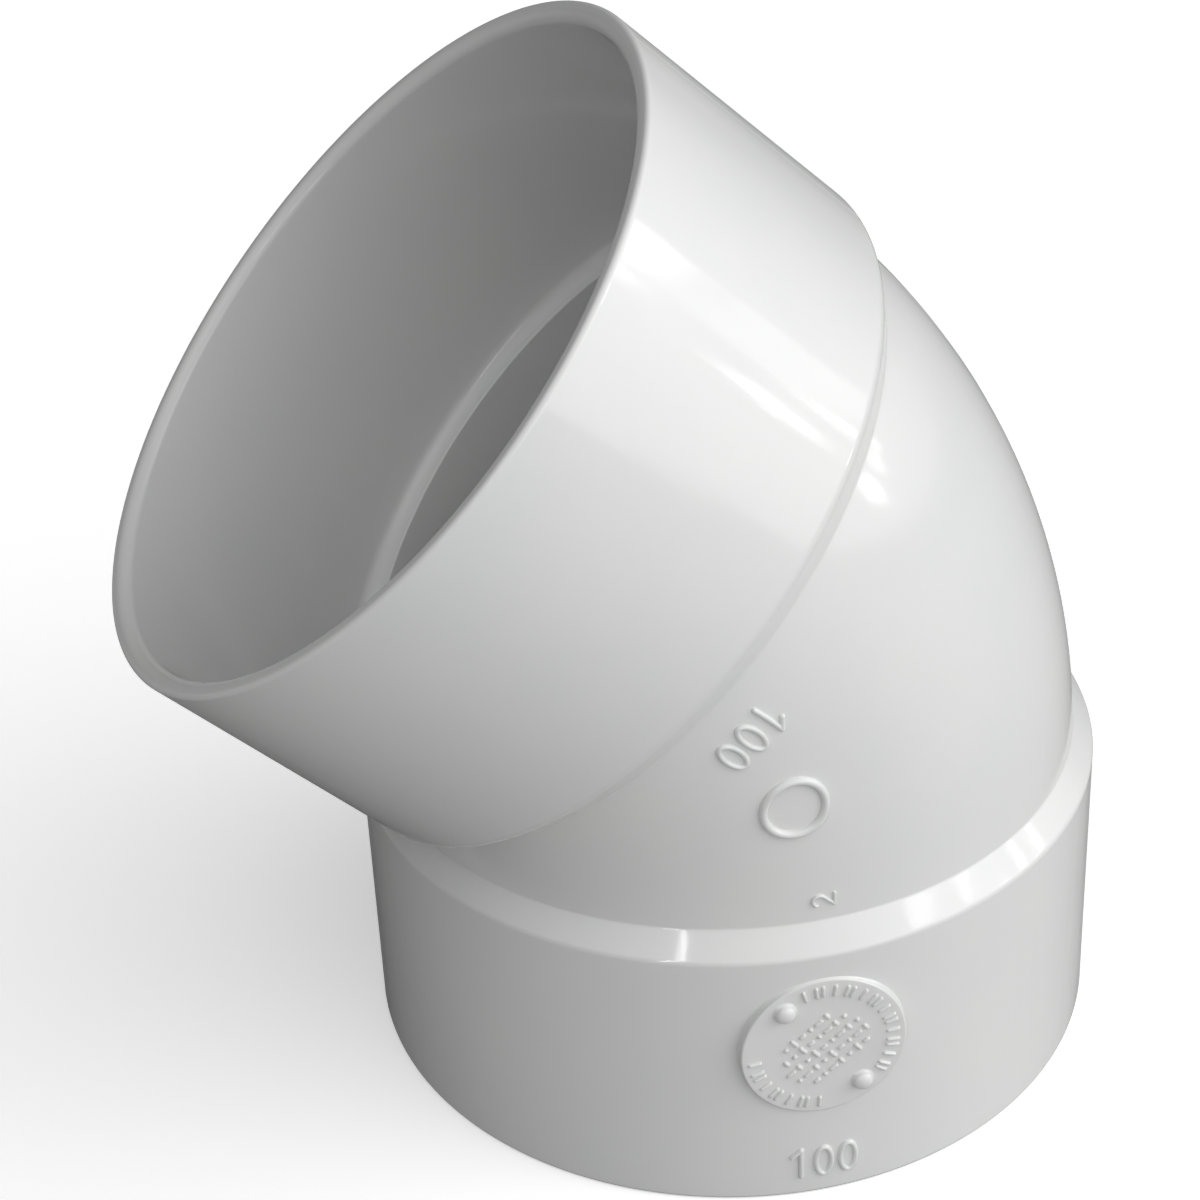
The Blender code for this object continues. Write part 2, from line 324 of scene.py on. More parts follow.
@dataclass(frozen=True)
class PvcFinish:
    """Moulded white PVC: cloudy tint, uneven gloss, and the soft ripple that moulding leaves."""

    name: str
    tint: tuple[float, float, float] = (0.74, 0.75, 0.745)
    cloud: tuple[float, float, float] = (0.775, 0.78, 0.77)
    gloss: tuple[float, float] = (0.06, 0.12)
    ripple: float = 0.10 * MM
    grain: float = 0.003 * MM
    drag: float = 0.02 * MM
    drag_stretch: float = 14.0
    lean: float = 0.0
    cloud_scale: float = 28.0
    gloss_scale: float = 90.0
    ripple_scale: float = 45.0
    drag_scale: float = 420.0
    grain_scale: float = 1600.0
    ior: float = 1.53

    def build(self) -> bpy.types.Material:
        """Makes the material.

        Returns:
            A material whose colour, roughness and bump all vary with the Object coordinates.
        """
        material = bpy.data.materials.new(self.name)
        material.use_nodes = True
        tree = material.node_tree
        shader = tree.nodes["Principled BSDF"]
        shader.inputs["IOR"].default_value = self.ior
        place = tree.nodes.new("ShaderNodeTexCoord").outputs["Object"]
        self._paint(tree, shader, place)
        rough = self._spread(tree, self._noise(tree, place, self.gloss_scale, 5.0), *self.gloss)
        tree.links.new(rough, shader.inputs["Roughness"])
        self._texture(tree, shader, place)
        return material

    @staticmethod
    def _noise(tree: bpy.types.NodeTree, place: bpy.types.NodeSocket, scale: float,
               detail: float) -> bpy.types.NodeSocket:
        """A noise of so many lumps a metre.

        Args:
            tree: The material's nodes.
            place: The coordinates that it reads.
            scale: Lumps a metre.
            detail: How many finer layers it has.

        Returns:
            The noise's value.
        """
        noise = tree.nodes.new("ShaderNodeTexNoise")
        noise.inputs["Scale"].default_value = scale
        noise.inputs["Detail"].default_value = detail
        tree.links.new(place, noise.inputs["Vector"])
        return noise.outputs["Fac"]

    @staticmethod
    def _spread(tree: bpy.types.NodeTree, value: bpy.types.NodeSocket, low: float,
                high: float) -> bpy.types.NodeSocket:
        """Stretches the middle of a noise over a range.

        Args:
            tree: The material's nodes.
            value: The noise.
            low: What its low part becomes.
            high: What its high part becomes.

        Returns:
            The stretched value.
        """
        spread = tree.nodes.new("ShaderNodeMapRange")
        spread.inputs["From Min"].default_value = 0.3
        spread.inputs["From Max"].default_value = 0.7
        spread.inputs["To Min"].default_value = low
        spread.inputs["To Max"].default_value = high
        tree.links.new(value, spread.inputs["Value"])
        return spread.outputs["Result"]

    def _paint(self, tree: bpy.types.NodeTree, shader: bpy.types.Node,
               place: bpy.types.NodeSocket) -> None:
        """Mixes the tint and the cloud by a broad noise.

        Args:
            tree: The material's nodes.
            shader: The Principled shader.
            place: The coordinates.
        """
        mix = tree.nodes.new("ShaderNodeMix")
        mix.data_type = "RGBA"
        share = self._spread(tree, self._noise(tree, place, self.cloud_scale, 4.0), 0.0, 1.0)
        tree.links.new(share, mix.inputs["Factor"])
        mix.inputs["A"].default_value = (*self.tint, 1.0)
        mix.inputs["B"].default_value = (*self.cloud, 1.0)
        tree.links.new(mix.outputs["Result"], shader.inputs["Base Color"])

    def _texture(self, tree: bpy.types.NodeTree, shader: bpy.types.Node,
                 place: bpy.types.NodeSocket) -> None:
        """Adds three bumps: a slow ripple, drag lines along the core's way out, and a fine grain.

        The drag lines are a noise stretched along the way out, which leans from Z towards -X.

        Args:
            tree: The material's nodes.
            shader: The Principled shader.
            place: The coordinates.
        """
        drawn = tree.nodes.new("ShaderNodeMapping")
        drawn.vector_type = "TEXTURE"
        drawn.inputs["Rotation"].default_value = (0.0, -self.lean, 0.0)
        drawn.inputs["Scale"].default_value = (1.0, 1.0, self.drag_stretch)
        tree.links.new(place, drawn.inputs["Vector"])
        layers = (
            (self._noise(tree, place, self.ripple_scale, 1.0), self.ripple),
            (self._noise(tree, drawn.outputs["Vector"], self.drag_scale, 3.0), self.drag),
            (self._noise(tree, place, self.grain_scale, 2.0), self.grain),
        )
        normal = None
        for height, distance in layers:
            bump = tree.nodes.new("ShaderNodeBump")
            bump.inputs["Strength"].default_value = 1.0
            bump.inputs["Distance"].default_value = distance
            tree.links.new(height, bump.inputs["Height"])
            if normal is not None:
                tree.links.new(normal, bump.inputs["Normal"])
            normal = bump.outputs["Normal"]
        tree.links.new(normal, shader.inputs["Normal"])


# ---------------------------------------------------------------- hubs and bend


@dataclass(frozen=True)
class HubShell:
    """One hub: rim, socket, pipe stop and bevelled shoulder, filleted into the bend's wall."""

    form: ElbowForm
    seat: Seat
    node: str
    shoulder_round: float = 1.4 * MM
    shoulder_height: float = 4.0 * MM
    rim_round: float = 0.8 * MM
    entry_round: float = 1.9 * MM
    mouth_radius: float = 53.8 * MM
    stop_radius: float = 53.4 * MM
    stop_fillet: float = 2.2 * MM
    lip_round: float = 0.25 * MM
    lip_length: float = 2.2 * MM
    crease_blend: float = 0.16 * MM
    foot_length: float = 1.4 * MM
    fine_length: float = 1.5 * MM
    row_gap: float = 0.1 * MM
    hidden_step: float = 0.2 * MM
    cover: float = 0.004 * MM
    dive: float = 0.1 * MM
    dive_length: float = 0.9 * MM

    def outer_rows(self) -> np.ndarray:
        """The outside without its witness line: a straight wall, a corner arc, and the bevel run on.

        Returns:
            Rows of (radius, height), from the rim to past the crease.
        """
        form = self.form
        slope = math.atan2(form.hub_radius - form.body_radius, self.shoulder_height)
        corner = form.hub_length - self.shoulder_height
        start = corner - self.shoulder_round * math.tan(slope / 2)
        wall = eased(self.rim_round, start, 24)
        centre = (form.hub_radius - self.shoulder_round, start)
        rounding = arc(centre, self.shoulder_round, 0.0, math.degrees(slope), 16)
        end = rounding[-1, 1]
        fine = form.hub_length - self.fine_length
        bevel = np.concatenate([
            np.linspace(end, fine - self.row_gap, 8)[1:],
            np.linspace(fine, form.hub_length + self.foot_length, 56),
        ])
        line = form.hub_radius - (bevel - corner) * math.tan(slope)
        return np.vstack([
            np.column_stack([np.full(len(wall), form.hub_radius), wall]),
            rounding[1:],
            np.column_stack([line, bevel]),
        ])

    def bore_rows(self) -> np.ndarray:
        """The socket, from the ledge's inner edge out to the rim's outer edge.

        Returns:
            Rows of (radius, height).
        """
        form, depth = self.form, self.form.socket_depth
        inner = form.waterway_radius - self.cover
        lip = arc((inner + self.lip_round, depth + self.lip_round), self.lip_round, 180.0, 270.0, 6)
        fillet_centre = (self.stop_radius - self.stop_fillet, depth - self.stop_fillet)
        fillet = arc(fillet_centre, self.stop_fillet, 90.0, 0.0, 18)
        ledge = eased(lip[-1, 0], fillet[0, 0], 8)[1:-1]
        bore = eased(fillet[-1, 1], self.entry_round, 30)[1:-1]
        taper = np.interp(bore, [self.entry_round, fillet[-1, 1]], [self.mouth_radius, self.stop_radius])
        entry_centre = (self.mouth_radius + self.entry_round, self.entry_round)
        entry = arc(entry_centre, self.entry_round, 180.0, 270.0, 18)
        rim_centre = (form.hub_radius - self.rim_round, self.rim_round)
        rim = arc(rim_centre, self.rim_round, -90.0, 0.0, 12)
        face = eased(entry[-1, 0], rim[0, 0], 6)[1:-1]
        return np.vstack([
            lip,
            np.column_stack([ledge, np.full(len(ledge), depth)]),
            fillet,
            np.column_stack([taper, bore]),
            entry,
            np.column_stack([face, np.zeros(len(face))]),
            rim[:-1],
        ])

    def cover_at(self, past_end: np.ndarray) -> np.ndarray:
        """Height over the bend's wall near an edge that runs out on it.

        It is the cover until the last stretch, and then falls by the dive times the square of the
        share of that stretch, so the edge sinks into the wall without a step.

        Args:
            past_end: Distance past the end of the covered stretch, negative before it.

        Returns:
            The heights.
        """
        share = np.clip(1 + past_end / self.dive_length, 0.0, 1.0)
        return self.cover - self.dive * share**2

    def grid(self) -> np.ndarray:
        """The whole closed section carried round the hub's axis.

        The outside is the larger of the turned profile and the bend's tube, with a fillet between
        them, so that the crease follows the curved wall.

        Returns:
            Points, as rows by turns by three.
        """
        form, turn = self.form, self.form.turns()[None, :]
        outer, bore = self.outer_rows(), self.bore_rows()
        height = outer[:, 1:]
        tube = form.tube_reach(turn, np.maximum(height, form.socket_depth), form.body_radius)
        top = form.hub_length + self.foot_length
        over = tube + self.cover_at(height - top)
        crossing = smooth_max(outer[:, :1] + 0 * turn, over, self.crease_blend)
        above = height > form.hub_length - self.shoulder_height
        outside = np.where(above, crossing, outer[:, :1]) + form.flash(turn)
        lip_top = form.socket_depth + self.lip_length
        hidden_height = np.array([[top + self.hidden_step], [lip_top + 2 * self.hidden_step]])
        hidden = form.tube_reach(turn, hidden_height, (form.body_radius + form.waterway_radius) / 2)
        lip_height = form.socket_depth + np.linspace(self.lip_length, self.lip_round, 16)[:, None]
        lip = form.tube_reach(turn, lip_height, form.waterway_radius)
        lip = lip - self.cover_at(lip_height - lip_top)
        radius = np.vstack([outside, hidden, lip[:-1], bore[:, :1] + 0 * turn])
        height = np.vstack([height, hidden_height, lip_height[:-1], bore[:, 1:]])
        return self.seat.at(turn + 0 * radius, radius, height + 0 * radius)

    def build(self, finish: bpy.types.Material) -> bpy.types.Object:
        """Makes the hub's piece.

        Args:
            finish: Its material.

        Returns:
            The placed piece.
        """
        surface = Surface()
        surface.add(self.grid(), Wrap.BOTH)
        return place_piece(surface.build(self.node + "_shell", finish), "hub_pvc", self.node)


@dataclass(frozen=True)
class BendShell:
    """The curved wall between the hubs. Its ends run on inside the hubs' own walls."""

    form: ElbowForm
    bury: float = math.radians(0.5)
    outer_steps: int = 110
    inner_steps: int = 60

    def sweep(self, angle: np.ndarray, radius: float, raised: np.ndarray, turn: np.ndarray) -> np.ndarray:
        """A round section carried along the bend.

        A point is the bend's centre, plus the outward direction at that angle times the bend's radius
        and the section's cosine, plus the section's sine to the side.

        Args:
            angle: Angles along the bend, in radians.
            radius: Radius of the section.
            raised: Height above that radius, for each turn.
            turn: Angles round the section, in radians.

        Returns:
            Points, as angles by turns by three.
        """
        form = self.form
        outward = np.stack([np.cos(angle), 0 * angle, np.sin(angle)], axis=-1)[:, None, :]
        section = (radius + raised)[None, :, None]
        away = form.bend_radius + section * np.cos(turn)[None, :, None]
        side = section * np.sin(turn)[None, :, None] * np.array([0.0, 1.0, 0.0])
        return form.bend_centre + away * outward + side

    def build(self, finish: bpy.types.Material) -> bpy.types.Object:
        """Makes the bend's piece, a closed wall.

        Args:
            finish: Its material.

        Returns:
            The placed piece.
        """
        form, turn = self.form, self.form.turns()
        start, end = self.bury, form.bend_angle - self.bury
        there = np.linspace(start, end, self.outer_steps)
        back = np.linspace(end, start, self.inner_steps)
        outside = self.sweep(there, form.body_radius, form.flash(turn), turn)
        inside = self.sweep(back, form.waterway_radius, 0 * turn, turn)
        surface = Surface()
        surface.add(np.concatenate([outside, inside]), Wrap.BOTH)
        return place_piece(surface.build("bend_shell", finish), "body_pvc", "bend_body")


# ---------------------------------------------------------------- patches that carry the marks


class Patch(ABC):
    """A part of the outside with its own flat map: across, up, and height above it."""

    @abstractmethod
    def lift(self, across: np.ndarray, up: np.ndarray, height: np.ndarray) -> np.ndarray:
        """Points over places on the map.

        Args:
            across: Distance to the right of the middle.
            up: Distance above the middle.
            height: Distance out of the surface.

        Returns:
            Points, with three coordinates in the last place.
        """


@dataclass(frozen=True)
class HubPatch(Patch):
    """The lower hub's wall, facing -Y. Across turns about the hub's axis, and up is along it."""

    form: ElbowForm
    turn: float
    level: float

    @classmethod
    def over(cls, form: ElbowForm, node: str) -> "HubPatch":
        """The patch whose middle is the middle of a CAD node's box."""
        middle = middle_of(node)
        return cls(form, math.asin((middle.x - form.axis_x) / form.hub_radius), middle.z)

    def lift(self, across: np.ndarray, up: np.ndarray, height: np.ndarray) -> np.ndarray:
        """A turn of across over the radius, at the radius plus the height."""
        turn = self.turn + across / self.form.hub_radius
        radius = self.form.hub_radius + height
        x = self.form.axis_x + radius * np.sin(turn)
        return np.stack([x, -radius * np.cos(turn), self.level + up], axis=-1)


@dataclass(frozen=True)
class BendPatch(Patch):
    """The bend's wall, facing -Y, round a place on it. Up is a direction in the XZ plane."""

    form: ElbowForm
    angle: float
    outward: float
    up_direction: tuple[float, float]

    @classmethod
    def over(cls, form: ElbowForm, node: str, up_direction: tuple[float, float]) -> "BendPatch":
        """The patch whose middle is the middle of a CAD node's box.

        Args:
            form: The elbow's form.
            node: The CAD node.
            up_direction: The mark's upward direction, as its X and Z parts.

        Returns:
            The patch.
        """
        middle, centre = middle_of(node), form.bend_centre
        x, z = middle.x - centre[0], middle.z - centre[2]
        outward = math.asin((math.hypot(x, z) - form.bend_radius) / form.body_radius) * form.body_radius
        return cls(form, math.atan2(z, x), outward, up_direction)

    def lift(self, across: np.ndarray, up: np.ndarray, height: np.ndarray) -> np.ndarray:
        """Splits the place into a part along the bend and a part round its section, and turns by each."""
        sine, cosine = math.sin(self.angle), math.cos(self.angle)
        up_x, up_z = self.up_direction
        along = up * (up_z * cosine - up_x * sine) + across * (-up_x * cosine - up_z * sine)
        outward = up * (up_x * cosine + up_z * sine) + across * (up_z * cosine - up_x * sine)
        turn = (self.outward + outward) / self.form.body_radius
        radius = self.form.body_radius + height
        away = self.form.bend_radius + radius * np.sin(turn)
        angle = self.angle + along / (self.form.bend_radius + self.outward)
        centre = self.form.bend_centre
        x, z = centre[0] + away * np.cos(angle), centre[2] + away * np.sin(angle)
        return np.stack([x, -radius * np.cos(turn), z], axis=-1)


@dataclass(frozen=True)
class PlatePatch(Patch):
    """The roundel's flat face, parallel to the XZ plane."""

    form: ElbowForm
    level: float
    proud: float

    @classmethod
    def over(cls, form: ElbowForm, node: str) -> "PlatePatch":
        """The flat face of the round plate that a CAD node stands for."""
        return cls(form, middle_of(node).z, -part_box(node)[0].y - form.hub_radius)

    def lift(self, across: np.ndarray, up: np.ndarray, height: np.ndarray) -> np.ndarray:
        """Across is X, up is Z and height is -Y."""
        y = -(self.form.hub_radius + self.proud + height)
        return np.stack([self.form.axis_x + across, y, self.level + up], axis=-1)


@dataclass(frozen=True)
class Ridge:
    """A rounded ridge of half an ellipse in section, its lower half sunk in the surface."""

    width: float
    height: float
    sides: int = 16
    cap_steps: int = 5

    def add(self, surface: Surface, patch: Patch, path: np.ndarray, closed: bool = False) -> None:
        """Carries the section along a path on a patch. Open ends shrink to a pole as a ball does.

        A point is the path's, plus half the width times the cosine to the left, raised by the height
        times the sine.

        Args:
            surface: What the ridge is added to.
            patch: What it stands on.
            path: Points of the path, one row each.
            closed: Whether the path is a loop.
        """
        if closed:
            along = np.roll(path, -1, axis=0) - np.roll(path, 1, axis=0)
        else:
            along = np.gradient(path, axis=0)
        along = along / np.linalg.norm(along, axis=1, keepdims=True)
        size = np.ones(len(path))
        if not closed:
            turn = np.linspace(np.pi / 2, 0.0, self.cap_steps, endpoint=False)[:, None]
            reach = self.width / 2 * np.sin(turn)
            first, last = path[0] - along[0] * reach, path[-1] + along[-1] * reach[::-1]
            shrink = np.cos(turn[:, 0])
            path = np.vstack([first, path, last])
            along = np.vstack([np.tile(along[0], (len(turn), 1)), along, np.tile(along[-1], (len(turn), 1))])
            size = np.concatenate([shrink, size, shrink[::-1]])
        tau = np.linspace(0.0, 2 * np.pi, self.sides, endpoint=False)
        sideways = size[:, None] * self.width / 2 * np.cos(tau)
        across = path[:, :1] - along[:, 1:] * sideways
        up = path[:, 1:] + along[:, :1] * sideways
        height = size[:, None] * self.height * np.sin(tau)
        surface.add(patch.lift(across, up, height), Wrap.BOTH if closed else Wrap.COLUMNS)


# ---------------------------------------------------------------- marks


class Numeral(Enum):
    """The numerals that the marks use."""

    ZERO = "0"
    ONE = "1"
    TWO = "2"


@dataclass(frozen=True)
class NumeralMark:
    """Raised numerals drawn with one round-nosed stroke, centred on a patch."""

    piece: str
    node: str
    patch: Patch
    numerals: tuple[Numeral, ...]
    height: float
    advance: float
    stroke: Ridge = field(default_factory=lambda: Ridge(0.85 * MM, 0.5 * MM))
    step: float = 0.12 * MM

    def strokes(self, numeral: Numeral) -> list[tuple[np.ndarray, bool]]:
        """The strokes of a numeral one unit high, centred on the origin.

        Args:
            numeral: Which numeral.

        Returns:
            Pairs of path and whether it is a loop.
        """
        fine = self.step / self.height
        if numeral is Numeral.ZERO:
            loop = arc((0.0, 0.0), 0.5, 0.0, 360.0, 65)[:-1] * np.array([0.46, 1.0])
            return [(loop, True)]
        if numeral is Numeral.ONE:
            flag, stem = [(-0.2, 0.27), (0.06, 0.5)], [(0.06, 0.5), (0.06, -0.5)]
            return [(resampled(flag, fine), False), (resampled(stem, fine), False)]
        bowl = arc((0.0, 0.22), 0.28, 165.0, -42.0, 24)
        neck = resampled([tuple(bowl[-1]), (-0.28, -0.5)], fine)[1:]
        foot = resampled([(-0.28, -0.5), (0.3, -0.5)], fine)
        return [(np.vstack([bowl, neck]), False), (foot, False)]

    def build(self, finish: bpy.types.Material) -> bpy.types.Object:
        """Makes the mark's piece.

        Args:
            finish: Its material.

        Returns:
            The placed piece.
        """
        surface = Surface()
        first = -self.advance * (len(self.numerals) - 1) / 2
        for place, numeral in enumerate(self.numerals):
            for path, closed in self.strokes(numeral):
                shifted = path * self.height + np.array([first + place * self.advance, 0.0])
                self.stroke.add(surface, self.patch, shifted, closed)
        return place_piece(surface.build(self.piece, finish), "mark_pvc", self.node)


@dataclass(frozen=True)
class MarkSet:
    """The numerals outside the roundel: the bore in millimetres, twice, and the mould cavity's number."""

    form: ElbowForm
    size_height: float = 5.2 * MM
    size_advance: float = 3.75 * MM
    cavity_height: float = 3.2 * MM
    cavity_stroke: Ridge = field(default_factory=lambda: Ridge(0.55 * MM, 0.4 * MM, sides=12))

    def build(self, finish: bpy.types.Material) -> list[bpy.types.Object]:
        """Makes the three marks.

        Args:
            finish: Their material.

        Returns:
            The placed pieces.
        """
        bore = ((Numeral.ONE, Numeral.ZERO, Numeral.ZERO), self.size_height, self.size_advance)
        cavity = ((Numeral.TWO,), self.cavity_height, 0.0, self.cavity_stroke)
        down_lean = (math.sin(self.form.bend_angle), -math.cos(self.form.bend_angle))
        beside_upper = BendPatch.over(self.form, "bend_size_mark", down_lean)
        near_rim = HubPatch.over(self.form, "socket_size_mark")
        above_lower = BendPatch.over(self.form, "cavity_mark", (-1.0, 0.0))
        marks = (
            NumeralMark("bend_size_numerals", "bend_size_mark", beside_upper, *bore),
            NumeralMark("socket_size_numerals", "socket_size_mark", near_rim, *bore),
            NumeralMark("cavity_numeral", "cavity_mark", above_lower, *cavity),
        )
        return [mark.build(finish) for mark in marks]


@dataclass(frozen=True)
class GateRing:
    """The raised ring round the place where the plastic entered the mould."""

    patch: Patch
    radius: float = 4.5 * MM
    steps: int = 96
    ridge: Ridge = field(default_factory=lambda: Ridge(1.3 * MM, 0.75 * MM, sides=20))

    def build(self, finish: bpy.types.Material) -> bpy.types.Object:
        """Makes the ring.

        Args:
            finish: Its material.

        Returns:
            The placed piece.
        """
        surface = Surface()
        loop = arc((0.0, 0.0), self.radius, 0.0, 360.0, self.steps + 1)[:-1]
        self.ridge.add(surface, self.patch, loop, closed=True)
        return place_piece(surface.build("gate_ring_ridge", finish), "mark_pvc", "gate_ring")


@dataclass(frozen=True)
class Roundel:
    """The flat round plate on the lower hub, with two studs, a broken ring of ticks and rows of dashes."""

    form: ElbowForm
    edge_round: float = 0.3 * MM
    depth: float = 2.4 * MM
    flare: float = 0.25 * MM
    flare_fall: float = 0.15 * MM
    stud_flare: float = 0.45 * MM
    stud_side: float = 0.4 * MM
    side_rows: int = 40
    tick_gap: float = 2.0 * MM
    tick_length: float = 1.5 * MM
    tick_arcs: tuple[tuple[float, float, int], ...] = ((106.0, -32.0, 12), (266.0, 186.0, 7))
    pair_turn: float = 0.047
    row_tilt: float = 40.0
    row_pitch: float = 2.05 * MM
    row_counts: tuple[int, ...] = (6, 8, 9, 9, 7)
    dash_pitch: float = 1.6 * MM
    dot_half: float = 0.06 * MM
    dash_growth: float = 0.21 * MM
    tick: Ridge = field(default_factory=lambda: Ridge(0.62 * MM, 0.42 * MM, sides=10, cap_steps=3))
    dash: Ridge = field(default_factory=lambda: Ridge(0.74 * MM, 0.45 * MM, sides=10, cap_steps=3))

    @property
    def face(self) -> PlatePatch:
        """The map of the plate's face."""
        return PlatePatch.over(self.form, "roundel_plate")

    @property
    def radius(self) -> float:
        """The plate's radius."""
        low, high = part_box("roundel_plate")
        return (high.x - low.x) / 2

    def build_plate(self, finish: bpy.types.Material) -> bpy.types.Object:
        """Makes the plate: a disc with a rounded edge, whose side flares where it meets the hub.

        The side's radius grows by the flare times a falling exponential of the height above the hub.

        Args:
            finish: Its material.

        Returns:
            The placed piece.
        """
        turn = np.linspace(0.0, 2 * np.pi, 192, endpoint=False)[None, :]
        side_height = np.linspace(-self.depth, -self.edge_round, self.side_rows)
        side_radius = np.full(self.side_rows, self.radius)
        rounding = arc((self.radius - self.edge_round, -self.edge_round), self.edge_round, 0.0, 90.0, 8)
        inward = np.linspace(self.radius - self.edge_round, 0.0, 24)[1:]
        radius = np.concatenate([[0.0, self.radius], side_radius, rounding[1:, 0], inward])
        height = np.concatenate([[-self.depth] * 2, side_height, rounding[1:, 1], 0 * inward])
        fall = self.form.hub_radius - np.sqrt(self.form.hub_radius**2 - (self.radius * np.cos(turn)) ** 2)
        above = np.maximum(height[:, None] + self.face.proud + fall, 0.0)
        side = (radius >= self.radius - self.edge_round)[:, None]
        wide = radius[:, None] + side * self.flare * np.exp(-above / self.flare_fall)
        surface = Surface()
        points = self.face.lift(wide * np.cos(turn), wide * np.sin(turn), height[:, None] + 0 * turn)
        surface.add(points, Wrap.COLUMNS)
        return place_piece(surface.build("roundel_face", finish), "roundel_pvc", "roundel_plate")

    def build_stud(self, name: str, node: str, finish: bpy.types.Material) -> bpy.types.Object:
        """Makes a domed stud with a flared foot, where its CAD node is.

        The side's radius grows by the flare times (a falling exponential of the height, less a
        sixth). Above the side the stud is a quarter of an ellipse, turned.

        Args:
            name: Name of the piece.
            node: The CAD node that it stands for.
            finish: Its material.

        Returns:
            The placed piece.
        """
        low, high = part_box(node)
        radius, tall, middle = (high.x - low.x) / 2, high.y - low.y, (low + high) / 2
        side = np.linspace(-self.edge_round, self.stud_side, 14)
        flared = radius + self.stud_flare * (np.exp(-2 * np.maximum(side, 0.0) / self.stud_side) - 1 / 6)
        dome = arc((0.0, 0.0), 1.0, 0.0, 90.0, 18)[1:]
        across = np.concatenate([[0.0], flared, flared[-1] * dome[:-1, 0], [0.0]])
        height = np.concatenate([side[:1], side, self.stud_side + (tall - self.stud_side) * dome[:, 1]])
        turn = np.linspace(0.0, 2 * np.pi, 48, endpoint=False)[None, :]
        right = middle.x - self.form.axis_x + across[:, None] * np.cos(turn)
        up = middle.z - self.face.level + across[:, None] * np.sin(turn)
        surface = Surface()
        points = self.face.lift(right, up, height[:, None] + 0 * turn)
        surface.add(points, Wrap.COLUMNS)
        return place_piece(surface.build(name, finish), "mark_pvc", node)

    def build_ticks(self, finish: bpy.types.Material) -> bpy.types.Object:
        """Makes the radial ticks, in two arcs inside the plate's edge, single and in close pairs in turn.

        Args:
            finish: Its material.

        Returns:
            The placed piece.
        """
        surface = Surface()
        middle, half = self.radius - self.tick_gap, self.tick_length / 2
        for start, end, count in self.tick_arcs:
            for place, angle in enumerate(np.radians(np.linspace(start, end, count))):
                for shift in ((-self.pair_turn, self.pair_turn) if place % 2 else (0.0,)):
                    outward = np.array([math.cos(angle + shift), math.sin(angle + shift)])
                    ends = [tuple(outward * (middle + way * half)) for way in (-1, 1)]
                    self.tick.add(surface, self.face, resampled(ends, 0.25 * MM))
        return place_piece(surface.build("roundel_ticks", finish), "mark_pvc")

    def build_dashes(self, finish: bpy.types.Material) -> bpy.types.Object:
        """Makes the slanting rows of dots and dashes in the middle of the plate.

        Args:
            finish: Its material.

        Returns:
            The placed piece.
        """
        surface, tilt = Surface(), math.radians(self.row_tilt)
        along = np.array([math.cos(tilt), math.sin(tilt)])
        rise = np.array([-along[1], along[0]])
        for row, count in enumerate(self.row_counts):
            above = (len(self.row_counts) - 1) / 2 - row
            for place in range(count):
                beside = (place - (count - 1) / 2) * self.dash_pitch
                middle = along * beside + rise * above * self.row_pitch
                half = self.dot_half + self.dash_growth * ((2 * place + row) % 3)
                way = rise if (place + row) % 2 else along
                ends = [tuple(middle + end * half * way) for end in (-1, 1)]
                self.dash.add(surface, self.face, resampled(ends, 0.1 * MM))
        return place_piece(surface.build("roundel_dashes", finish), "mark_pvc")

    def build(self, plate: bpy.types.Material, raised: bpy.types.Material) -> list[bpy.types.Object]:
        """Makes every piece of the roundel.

        Args:
            plate: The plate's material.
            raised: The raised pieces' material.

        Returns:
            The placed pieces.
        """
        studs = [
            self.build_stud(f"roundel_{side}_stud", f"roundel_stud_{side}", raised)
            for side in ("upper", "lower")
        ]
        return [self.build_plate(plate), *studs, self.build_ticks(raised), self.build_dashes(raised)]


# ---------------------------------------------------------------- studio and camera


def toward(azimuth: float, elevation: float) -> Vector:
    """The direction at an azimuth from -Y towards +X and an elevation over the floor, in degrees."""
    turn, rise = math.radians(azimuth), math.radians(elevation)
    return Vector((math.sin(turn) * math.cos(rise), -math.cos(turn) * math.cos(rise), math.sin(rise)))


def facing(away: Vector, roll: float) -> Quaternion:
    """The turn of a lamp or camera that looks back along a direction, with a roll in degrees."""
    return (-away).to_track_quat("-Z", "Y") @ Quaternion((0.0, 0.0, 1.0), math.radians(roll))


@dataclass(frozen=True)
class Pane:
    """A flat rectangular lamp that faces the elbow. Its width and height are angles seen from there."""

    name: str
    azimuth: float
    elevation: float
    width: float
    height: float
    brightness: float
    lean: float = 0.0
    distance: float = 1.0

    def build(self, aim: Vector) -> bpy.types.Object:
        """Makes the lamp, whose power is pi times its area times its brightness.

        Args:
            aim: The point that it faces.

        Returns:
            The lamp's object.
        """
        away = toward(self.azimuth, self.elevation)
        lamp = bpy.data.lights.new(self.name, "AREA")
        lamp.shape = "RECTANGLE"
        lamp.size = 2 * self.distance * math.tan(math.radians(self.width) / 2)
        lamp.size_y = 2 * self.distance * math.tan(math.radians(self.height) / 2)
        lamp.energy = math.pi * lamp.size * lamp.size_y * self.brightness
        light = bpy.data.objects.new(self.name, lamp)
        light.location = aim + away * self.distance
        light.rotation_euler = facing(away, self.lean).to_euler()
        bpy.context.scene.collection.objects.link(light)
        return light


